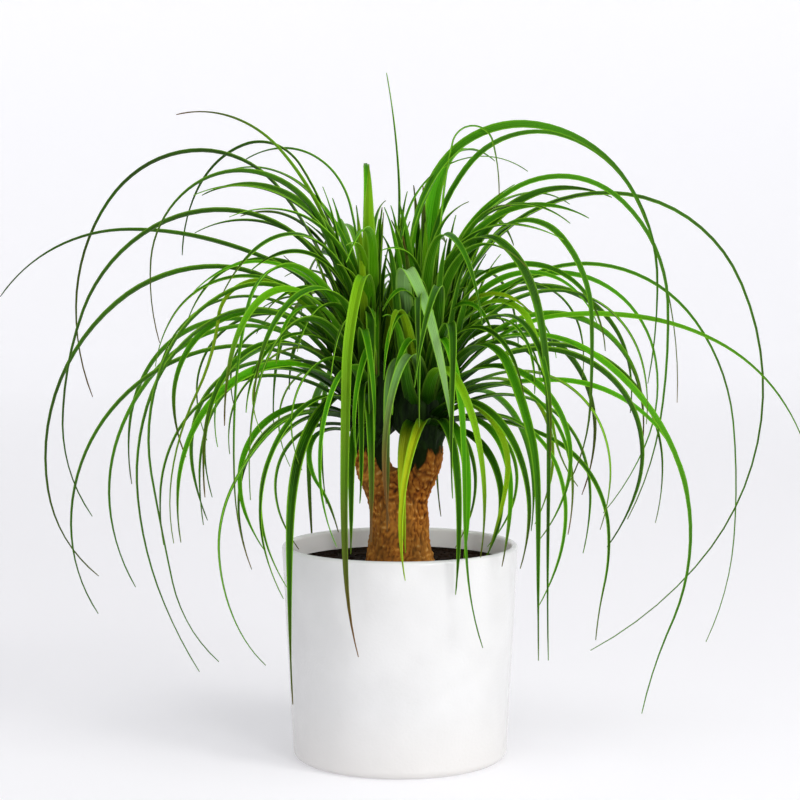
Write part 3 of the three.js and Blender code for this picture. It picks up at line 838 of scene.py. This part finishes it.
# The broad young leaves that fill out the upper middle, and one fine one, in the same terms as the long ones.
# The last three numbers of a row are the leaf's looks, in the terms of the leaves that stand out.
YOUNG_LEAVES = {
    "left": (
        (270, 0, 0.9, 150, 20, 0, (0, 2, 3, 4, 6, 10, 16), (1.2, 1.4, 1)),
        (200, 0, 0.85, 220, 14, -15, (2, 8, 22, 40, 62, 90, 115), (0.1, 1.3, 0.6)),
        (150, 0, 0.9, 225, 14, 10, (0, 8, 20, 36, 56, 84, 110), (0.5, 1.3, 0.6)),
        (235, -45, 0.85, 190, 13, 0, (2, 8, 20, 36, 60, 90, 115), (0.35, 1.3, 0.6)),
        (170, 0, 0.8, 200, 13, 20, (6, 12, 28, 46, 70, 96, 120), (0.05, 1.3, 0.6)),
        (180, 0, 0.9, 210, 14, 60, (4, 10, 20, 34, 58, 90, 120), (0.2, 1.3, 0.6)),
        (60, 0, 0.9, 118, 15, 0, (4, 6, 8, 8, 8, 12, 20), (0.15, 1.3, 1)),
    ),
    "right": (
        (213, 0, 0.9, 240, 4.5, 0, (20, 15, 4, -26, -64, -92, -122), (0.5, 1.1, 0.6)),
        (90, -40, 0.9, 235, 21, 0, (2, 4, 12, 24, 50, 90, 120), (1, 1.4, 0.8)),
        (10, 0, 0.8, 220, 15, 60, (6, 14, 24, 38, 60, 90, 115), (0.1, 1.3, 0.6)),
        (-20, 0, 0.9, 200, 14, 50, (2, 10, 22, 40, 66, 95, 120), (0.4, 1.3, 0.6)),
        (215, 0, 0.9, 125, 16, 30, (6, 8, 9, 9, 9, 12, 20), (0.6, 1.3, 1)),
        (-40, 0, 0.85, 210, 14, 15, (4, 10, 20, 40, 70, 100, 125), (0.15, 1.3, 0.6)),
        (35, 0, 0.85, 215, 14, -10, (4, 12, 22, 40, 64, 92, 120), (0.5, 1.3, 0.6)),
        (-70, 60, 0.8, 190, 13, 10, (2, 8, 20, 40, 70, 100, 120), (0.3, 1.3, 0.6)),
    ),
}


def fill_leaves(crown, name):
    leaves = spiral_leaves(crown, FILL[name])
    for leaf in leaves:
        leaf["width"] *= FILL_WIDTH
        leaf["length"] *= FILL_LENGTH
    return [leaf for leaf in leaves if leaf["up"] > FILL_FROM[name]]


def collar_leaves(name):
    count = COLLAR[name]["count"]
    draw = draws_from(COLLAR[name]["seed"])
    leaves = []
    for i in range(count):
        up = COLLAR_TOP * ((i * COLLAR_STEP) % 1)
        lean = between(*COLLAR_LEAN, up) + COLLAR_VARIATION["lean"] * (draw() - 0.5)
        leaves.append({
            "heading": 360 * i / count + COLLAR_VARIATION["heading"] * draw(),
            "sweep": COLLAR_VARIATION["sweep"] * (draw() - 0.5),
            "up": up,
            "length": COLLAR_LENGTH * between(*COLLAR_LENGTHS, draw()),
            "width": COLLAR_WIDTH * between(*COLLAR_WIDTHS, draw()),
            "roll": COLLAR_VARIATION["roll"] * (draw() - 0.5),
            "leans": [lean * part for part in COLLAR_BEND],
        })
    return leaves


BLADE_ROWS = 44
BLADE_THICK = 0.5
GUTTER = 0.5  # depth of the fold, as a share of half the width
THINNEST_HALF = 0.35
TIP_SHARE = 0.3
TWIST_FROM = 0.05
TWIST_OVER = 0.5
SLIM = 0.58  # how slim the far part of most leaves gets, and over which stretch
SLIM_FROM = 110
SLIM_OVER = 260
MOST_LIGHT = 1.45
DRY_FROM = (0.88, 1.4)
LOOKS_SEED = {"left": 612, "right": 977}


def row_places(leaf):
    """Places along the midrib where a blade's rows lie: closer together where the leaf bends."""
    spent = [0]
    for k in range(1, MIDRIB_STEPS + 1):
        turn = abs(lean_at(leaf["leans"], k / MIDRIB_STEPS) - lean_at(leaf["leans"], (k - 1) / MIDRIB_STEPS))
        spent.append(spent[-1] + 1 / MIDRIB_STEPS + turn / 180)
    places = []
    k = 0
    for row in range(BLADE_ROWS + 1):
        goal = spent[-1] * row / BLADE_ROWS
        while k < MIDRIB_STEPS - 1 and spent[k + 1] < goal:
            k += 1
        places.append(k + min((goal - spent[k]) / (spent[k + 1] - spent[k]), 1))
    return places


def add_blade(bm, layers, leaf, points, tone, dryness, slimness):
    """Bends a narrow grid along the midrib into a guttered strap, drawn out to a point."""
    places = row_places(leaf)
    made = bmesh.ops.create_grid(bm, x_segments=2, y_segments=BLADE_ROWS, size=0.5, calc_uvs=True)
    for vert in made["verts"]:
        side = 2 * vert.co.x
        row = round((vert.co.y + 0.5) * BLADE_ROWS)
        k = min(int(places[row]), MIDRIB_STEPS - 1)
        part = places[row] - k
        at = points[k][0].lerp(points[k + 1][0], part)
        way = points[k][1].lerp(points[k + 1][1], part).normalized()
        level = points[k][2].lerp(points[k + 1][2], part).normalized()
        share = places[row] / MIDRIB_STEPS
        turn = math.radians(leaf["roll"]) * smooth_step((share - TWIST_FROM) / TWIST_OVER)
        across = Matrix.Rotation(turn, 3, way) @ level
        upper = way.cross(across)
        slim = between(1, slimness, smooth_step((share * leaf["length"] - SLIM_FROM) / SLIM_OVER))
        half = max(leaf["width"] / 2 * taper(share) * slim, THINNEST_HALF)
        if row == BLADE_ROWS:
            half *= TIP_SHARE
        sunk = GUTTER * half * (1 - abs(side))
        vert.co = (at - across * (side * half) - upper * sunk) * MM
        vert[layers["tone"]] = tone
        vert[layers["dry"]] = dryness
        vert[layers["along"]] = share
        vert[layers["reach"]] = share * leaf["length"]


# The greens of a leaf: its own from dark to fresh, the pale of its veins and of the painted highlight on its
# margins, and the painted shade at its root. Then the colour of a yellowing leaf with painted light on it,
# the colour of a painted silvery sheen, and the colours that drying leaves go to.
UPPER_GREENS = {
    "deep": (0.0015, 0.034, 0.0001),
    "fresh": (0.055, 0.31, 0.0004),
    "pale": (0.25, 0.56, 0.02),
    # The root's colour is painted shade, where the crown shades the leaf's root.
    "root": (0.002, 0.019, 0.0002),
}
LOWER_GREENS = {
    "deep": (0.004, 0.044, 0.0003),
    "fresh": (0.07, 0.31, 0.002),
    "pale": (0.28, 0.56, 0.04),
    # The root's colour is painted shade, where the crown shades the leaf's root.
    "root": (0.003, 0.02, 0.0003),
}
# The yellowing colour, lightened with painted light, and the colour of a painted silvery sheen.
LIME_AND_LIT = (0.45, 0.5, 0.01)
PAINTED_SHEEN = (0.26, 0.45, 0.16)
FAR_GREEN = (0.022, 0.042, 0.012)
OLIVE = (0.09, 0.1, 0.015)
DRY_BROWN = (0.17, 0.09, 0.025)
VEINS = 7
VEIN_SHARE = 0.12
VEIN_DEPTH = 0.08
CLOUD = {"scale": 30, "detail": 3, "low": 0.4, "high": 0.7}
CLOUD_SHARE = 0.2
# The margins' pale is a painted highlight along the leaf's edges.
EDGE_HIGHLIGHT_FROM = (0.32, 0.5)
EDGE_HIGHLIGHT_SHARE = 0.7
LEAF_SHINE = 0.06
LEAF_ROUGHNESS = (0.34, 0.5)

# Where things change along a leaf, in millimetres from its root: the painted shade at the root ends, the
# painted highlight on the margin fades and the far part darkens. The painted light of a yellowing leaf and
# the painted silvery sheen come in between two shares of its length, where the leaf hangs; the rising part
# below gets neither.
ROOT_PAINTED_SHADE = (0.92, 0, 22, 80)
EDGE_HIGHLIGHT_FADE = (1, 0.3, 110, 300)
FAR_DARKENS = (0, 0.65, 120, 300)
LIT_WHERE_HUNG = (0, 1, 0.2, 0.34)


def attribute(nodes, name):
    node = nodes.new("ShaderNodeAttribute")
    node.attribute_name = name
    return node.outputs["Fac"]


def leaf_finish(name, deep, fresh, pale, root):
    """A leaf's upper or lower face: green, fine veins, a painted highlight on the margin, painted shade at
    the root and a drying tip.
    """
    material, nodes, links, shader = dressed(name)
    tone = attribute(nodes, "tone")
    along = attribute(nodes, "along")
    past = computed(nodes, links, "SUBTRACT", along, attribute(nodes, "dry"))
    place = nodes.new("ShaderNodeTexCoord")
    uv = nodes.new("ShaderNodeSeparateXYZ")
    links.new(place.outputs["UV"], uv.inputs[0])
    across = uv.outputs["X"]

    veins = computed(nodes, links, "SINE", computed(nodes, links, "MULTIPLY", across, math.tau * VEINS))
    off_middle = computed(nodes, links, "ABSOLUTE", computed(nodes, links, "SUBTRACT", across, 0.5))
    near = ranged(nodes, links, attribute(nodes, "reach"), *EDGE_HIGHLIGHT_FADE)
    edge = ranged(nodes, links, off_middle, 0, EDGE_HIGHLIGHT_SHARE, *EDGE_HIGHLIGHT_FROM)
    # A painted highlight along the edges, fading towards the far part.
    edge_highlight = computed(nodes, links, "MULTIPLY", edge, near)
    clouds = mottled(nodes, links, place.outputs["Object"], **CLOUD)
    # The hanging part gets the painted light and sheen; the rising part below it does not.
    lit_hang = ranged(nodes, links, along, *LIT_WHERE_HUNG)
    lit_yellowing = computed(nodes, links, "MULTIPLY", ranged(nodes, links, tone, 0, 1, 1, 2), lit_hang)
    sheen = computed(nodes, links, "MULTIPLY", ranged(nodes, links, tone, 1, 0, -1, 0), lit_hang)
    # Painted shade near the root, fading out along the leaf.
    shade = ranged(nodes, links, attribute(nodes, "reach"), *ROOT_PAINTED_SHADE)

    body = blended(nodes, links, tone, deep, fresh)
    yellowed_and_lit = blended(nodes, links, lit_yellowing, body, LIME_AND_LIT)
    sheened = blended(nodes, links, sheen, yellowed_and_lit, PAINTED_SHEEN)
    far = ranged(nodes, links, attribute(nodes, "reach"), *FAR_DARKENS)
    darkened = blended(nodes, links, far, sheened, FAR_GREEN)
    veined = blended(nodes, links, ranged(nodes, links, veins, 0, VEIN_SHARE, -1, 1), darkened, pale)
    clouded = blended(nodes, links, ranged(nodes, links, clouds, 0, CLOUD_SHARE), veined, fresh)
    highlighted_edge = blended(nodes, links, edge_highlight, clouded, pale)
    root_shaded = blended(nodes, links, shade, highlighted_edge, root)
    olive = blended(nodes, links, ranged(nodes, links, past, 0, 0.8, -0.2, 0), root_shaded, OLIVE)
    dried = blended(nodes, links, ranged(nodes, links, past, 0, 1, 0, 0.1), olive, DRY_BROWN)
    links.new(dried, shader.inputs["Base Color"])
    links.new(ranged(nodes, links, clouds, *LEAF_ROUGHNESS), shader.inputs["Roughness"])
    links.new(bumped(nodes, links, veins, VEIN_DEPTH * MM), shader.inputs["Normal"])
    shader.inputs["Specular IOR Level"].default_value = LEAF_SHINE
    return material


def make_leaves(name, upper_face, lower_face):
    crown = CROWNS[name]
    keys = ("heading", "sweep", "up", "length", "width", "roll", "leans")
    long = [dict(zip(keys, row)) for row in LONG_LEAVES[name]]
    leaves = (
        long
        + spiral_leaves(crown, SPIRAL[name])
        + fill_leaves(crown, name)
        + collar_leaves(name)
        + [dict(zip((*keys, "looks"), row)) for row in YOUNG_LEAVES[name]]
    )
    draw = draws_from(LOOKS_SEED[name])
    bm = bmesh.new()
    bm.loops.layers.uv.new("blade")
    layers = {key: bm.verts.layers.float.new(key) for key in ("tone", "dry", "along", "reach")}
    for k, leaf in enumerate(leaves):
        found = cleared(crown, leaf)
        usual = (between(0, MOST_LIGHT, draw() ** 2), between(*DRY_FROM, draw()), SLIM)
        if found:
            add_blade(bm, layers, *found, *leaf.get("looks", ODD_LEAVES[name].get(k, usual)))
    thin = bpy.data.objects.new("thin", mesh_from("thin", bm))
    bpy.context.scene.collection.objects.link(thin)
    thicken = thin.modifiers.new("thicken", "SOLIDIFY")
    thicken.thickness = BLADE_THICK * MM
    thicken.offset = -1
    thicken.material_offset = 1
    thin.data.materials.append(upper_face)
    thin.data.materials.append(lower_face)
    mesh = bpy.data.meshes.new_from_object(thin.evaluated_get(bpy.context.evaluated_depsgraph_get()))
    bpy.data.objects.remove(thin)
    return placed(name + "_leaves", mesh)


CORE_BULGE = 8
BULGE_STEP = 0.25
BULGE_SPARE = 1.06
CORE_STEPS = 96
CORE_ROWS = 16
CORE_HEIGHT = 64
CORE_UNDER = 3  # how far the core reaches down into the fork
PLEATS = ((11, 0.035, 0.04), (23, 0.02, 0))  # how many, how deep, and how much they wind with the height
# The leaf bases deep in the crown, near black: their own dark green with painted shade from the leaves round
# them.
SHADED_LEAF_BASE_DARK = (0.002, 0.007, 0.0008)
SHADED_LEAF_BASE_GREEN = (0.014, 0.036, 0.004)
LEAF_BASE_SHINE = 0.08
LEAF_BASE_ROUGHNESS = (0.5, 0.7)
LEAF_BASE_STRETCH = (1, 1, 0.12)
LEAF_BASE_FINENESS = 240
LEAF_BASE_DEPTH = 0.8


def room_inwards(crown, angle, radius):
    """How far the core may bulge at an angle before it comes to the parting."""
    room = 0
    while room < CORE_BULGE:
        x = crown["x"] + (radius + room) * math.cos(angle)
        y = crown["y"] + (radius + room) * math.sin(angle)
        if crown["side"] * (x - PARTING_X - PARTING_BEND * math.tanh(y / PARTING_STRETCH)) < KEEP_OFF:
            break
        room += BULGE_STEP
    return room


def make_core(name, finish):
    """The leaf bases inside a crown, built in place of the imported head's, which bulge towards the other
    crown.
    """
    crown = CROWNS[name]
    top = CORE_HEIGHT + 2
    profile = [(0, TRUNK_TOP - CORE_UNDER), (crown["radius"] - 1.5, TRUNK_TOP - CORE_UNDER)]
    for k in range(CORE_ROWS + 1):
        height = CORE_HEIGHT * k / CORE_ROWS
        profile.append((core_radius(crown, height) - 0.8, TRUNK_TOP + height))
    profile.append((0, TRUNK_TOP + top))
    bm = spun(profile, CORE_STEPS)
    for vert in bm.verts:
        angle = math.atan2(vert.co.y, vert.co.x)
        radius = math.hypot(vert.co.x, vert.co.y) / MM
        if radius > 1:
            height = vert.co.z / MM - TRUNK_TOP
            inwards = max(-math.cos(angle - math.radians(crown["outwards"])), 0)
            swell = smooth_step(height / 14) * smooth_step((top - height) / 20) * smooth_step(2 * inwards)
            pleat = 1
            for count, depth, wind in PLEATS:
                pleat += depth * math.sin(count * angle + wind * height)
            grown = radius * pleat + swell * room_inwards(crown, angle, radius * BULGE_SPARE)
            vert.co.x *= grown / radius
            vert.co.y *= grown / radius
        vert.co.x += crown["x"] * MM
        vert.co.y += crown["y"] * MM
    return placed(name + "_core", mesh_from(name + "_core", bm), finish)


def core_finish():
    material, nodes, links, shader = dressed("shaded_leaf_bases")
    place = nodes.new("ShaderNodeTexCoord").outputs["Object"]
    stretch = nodes.new("ShaderNodeMapping")
    stretch.inputs["Scale"].default_value = LEAF_BASE_STRETCH
    links.new(place, stretch.inputs["Vector"])
    pleats = mottled(nodes, links, stretch.outputs["Vector"], LEAF_BASE_FINENESS, 3)
    # Painted shade over the leaf bases' own dark green, deep inside the crown.
    colour = blended(nodes, links, pleats, SHADED_LEAF_BASE_DARK, SHADED_LEAF_BASE_GREEN)
    links.new(colour, shader.inputs["Base Color"])
    links.new(ranged(nodes, links, pleats, *LEAF_BASE_ROUGHNESS), shader.inputs["Roughness"])
    links.new(bumped(nodes, links, pleats, LEAF_BASE_DEPTH * MM), shader.inputs["Normal"])
    shader.inputs["Specular IOR Level"].default_value = LEAF_BASE_SHINE
    return material


upper_face = leaf_finish("leaf_upper_face", **UPPER_GREENS)
lower_face = leaf_finish("leaf_lower_face", **LOWER_GREENS)
core_material = core_finish()
for name in CROWNS:
    for piece in (make_leaves(name, upper_face, lower_face), make_core(name, core_material)):
        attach(piece, "root")
        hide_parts(name + "_head")


# The studio: a pale floor that curves up into a pale wall all round, a soft white sky, one large soft light
# from the front right, one from above and a weak one low in front.
COVE_RINGS = (0, 300, 900, 2000)
COVE_RADIUS = 4200
COVE_CURVE = 900
COVE_TOP = 4500
COVE_NEAR = (0.65, 0.645, 0.66)
COVE_FAR = (0.72, 0.72, 0.73)
COVE_GLOW_NEAR = (0.285, 0.283, 0.29)
COVE_GLOW_FAR = (0.365, 0.363, 0.375)
SKY_COLOUR = (0.97, 0.98, 1.0, 1)
SKY_STRENGTH = 0.42

# Where each light stands, where it aims, its width, its watts and its colour, in metres.
LIGHTS = {
    "key": ((1.9, -1.5, 1.7), (0, 0, 0.25), 0.9, 26, (1.0, 0.985, 0.96)),
    "top": ((0.2, -0.7, 2.4), (0, 0, 0.3), 0.8, 12, (1.0, 1.0, 1.0)),
    "front": ((1.0, -2.1, 0.75), (0, 0, 0.15), 0.6, 15, (1.0, 1.0, 1.0)),
}


def make_cove():
    profile = [(r, 0) for r in COVE_RINGS]
    profile += arc(COVE_RADIUS, COVE_CURVE, COVE_CURVE, -90, 0, 16)
    profile.append((COVE_RADIUS + COVE_CURVE, COVE_TOP))
    bm = spun(profile, 96)
    for face in bm.faces:
        face.normal_flip()
    material, nodes, links, shader = dressed("pale_cove")
    place = nodes.new("ShaderNodeTexCoord").outputs["Object"]
    away = nodes.new("ShaderNodeVectorMath")
    away.operation = "LENGTH"
    links.new(place, away.inputs[0])
    far = ranged(nodes, links, away.outputs["Value"], 0, 1, 0.5, 3.2)
    links.new(blended(nodes, links, far, COVE_NEAR, COVE_FAR), shader.inputs["Base Color"])
    links.new(blended(nodes, links, far, COVE_GLOW_NEAR, COVE_GLOW_FAR), shader.inputs["Emission Color"])
    shader.inputs["Emission Strength"].default_value = 1
    shader.inputs["Roughness"].default_value = 0.95
    shader.inputs["Specular IOR Level"].default_value = 0.1
    return placed("cove", mesh_from("cove", bm), material)


def add_soft_light(name, at, aim, width, watts, colour):
    data = bpy.data.lights.new(name, "AREA")
    data.shape = "DISK"
    data.size = width
    data.energy = watts
    data.color = colour
    light = bpy.data.objects.new(name, data)
    light.location = at
    light.rotation_euler = (Vector(aim) - Vector(at)).to_track_quat("-Z", "Y").to_euler()
    bpy.context.scene.collection.objects.link(light)


make_cove()
for name, setting in LIGHTS.items():
    add_soft_light(name, *setting)

sky = bpy.data.worlds.new("soft_sky")
sky.use_nodes = True
sky.node_tree.nodes["Background"].inputs["Color"].default_value = SKY_COLOUR
sky.node_tree.nodes["Background"].inputs["Strength"].default_value = SKY_STRENGTH
bpy.context.scene.world = sky
bpy.context.scene.view_settings.view_transform = "Standard"

# The camera stands 1.7 m in front of the pot, a little above its rim, and looks 5.25 degrees down.
CAMERA_AT = (0, -1.7, 0.415)
CAMERA_DOWN = 5.25
CAMERA_LENS = 107.19
CAMERA_SENSOR = 36
camera_data = bpy.data.cameras.new("photo_camera")
camera_data.sensor_width = CAMERA_SENSOR
camera_data.lens = CAMERA_LENS
camera = bpy.data.objects.new("photo_camera", camera_data)
camera.location = CAMERA_AT
camera.rotation_euler = (math.radians(90 - CAMERA_DOWN), 0, 0)
bpy.context.scene.collection.objects.link(camera)
bpy.context.scene.camera = camera
